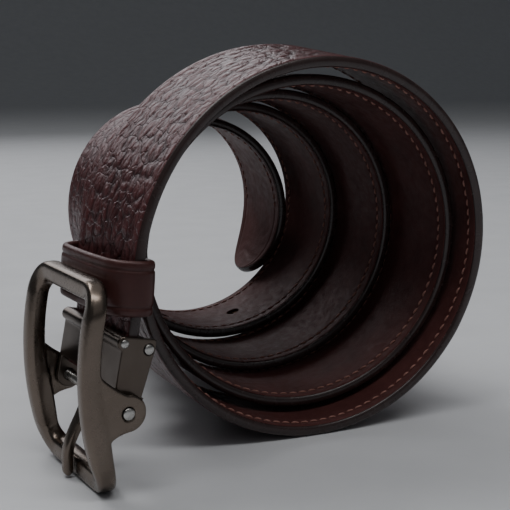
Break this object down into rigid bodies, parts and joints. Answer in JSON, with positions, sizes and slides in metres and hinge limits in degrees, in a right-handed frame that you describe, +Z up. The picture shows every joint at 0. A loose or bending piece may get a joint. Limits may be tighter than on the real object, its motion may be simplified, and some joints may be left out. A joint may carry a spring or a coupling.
{
  "type": "leather belt",
  "caption": "Rolled leather dress belt with stitched edges, a keeper loop, punched holes and a clip-on clamp buckle with a bowed frame and prong.",
  "frame": {"origin": "middle of the bottom of the bounding box, on the surface the rolled belt stands on", "axes": "+Z up, +Y along the coil axis towards the rolled belt's inner tip end, -X towards the buckle"},
  "size_m": [0.1236, 0.127, 0.1008],
  "materials": {
    "outer_leather": "embossed irregular grain, waxed, dark oxblood brown",
    "strap_core": "bonded leather board",
    "lining_leather": "smooth fine grain, semi-matt, reddish brown",
    "thread": "waxed polyester thread",
    "keeper_leather": "smooth, turned edges",
    "gunmetal": "satin antique nickel plate on zinc alloy",
    "pin_steel": "bright drawn wire"
  },
  "bodies": {
    "strap": {"outer_leather": "outer_leather", "strap_core": "strap_core", "lining": "lining_leather", "front_stitch_row": "thread", "back_stitch_row": "thread", "clamp_shell": "gunmetal", "jaw_pin": "pin_steel", "mouth_bar": "pin_steel", "frame_pin": "pin_steel"},
    "keeper": {"keeper_loop": "keeper_leather", "keeper_staple": "pin_steel"},
    "jaw": {"clamp_jaw": "gunmetal"},
    "frame": {"buckle_frame": "gunmetal"},
    "prong": {"prong": "gunmetal"}
  },
  "joints": [
    {"name": "keeper_slide", "type": "slide", "parent": "strap", "child": "keeper", "axis": [0.079, 0, 0.9969], "range_m": [-0.0035, 0.0005]},
    {"name": "jaw_hinge", "type": "hinge", "parent": "strap", "child": "jaw", "pos_m": [-0.04352, -0.04267, 0.03313], "axis": [0.0854, -0.9962, -0.0166], "range_deg": [0, 45]},
    {"name": "frame_hinge", "type": "hinge", "parent": "strap", "child": "frame", "pos_m": [-0.04965, -0.04297, 0.01985], "axis": [0.0854, -0.9962, -0.0166], "range_deg": [0, 75]},
    {"name": "prong_hinge", "type": "hinge", "parent": "frame", "child": "prong", "pos_m": [-0.04965, -0.04297, 0.01985], "axis": [0.0854, -0.9962, -0.0166], "range_deg": [-70, 0]}
  ]
}
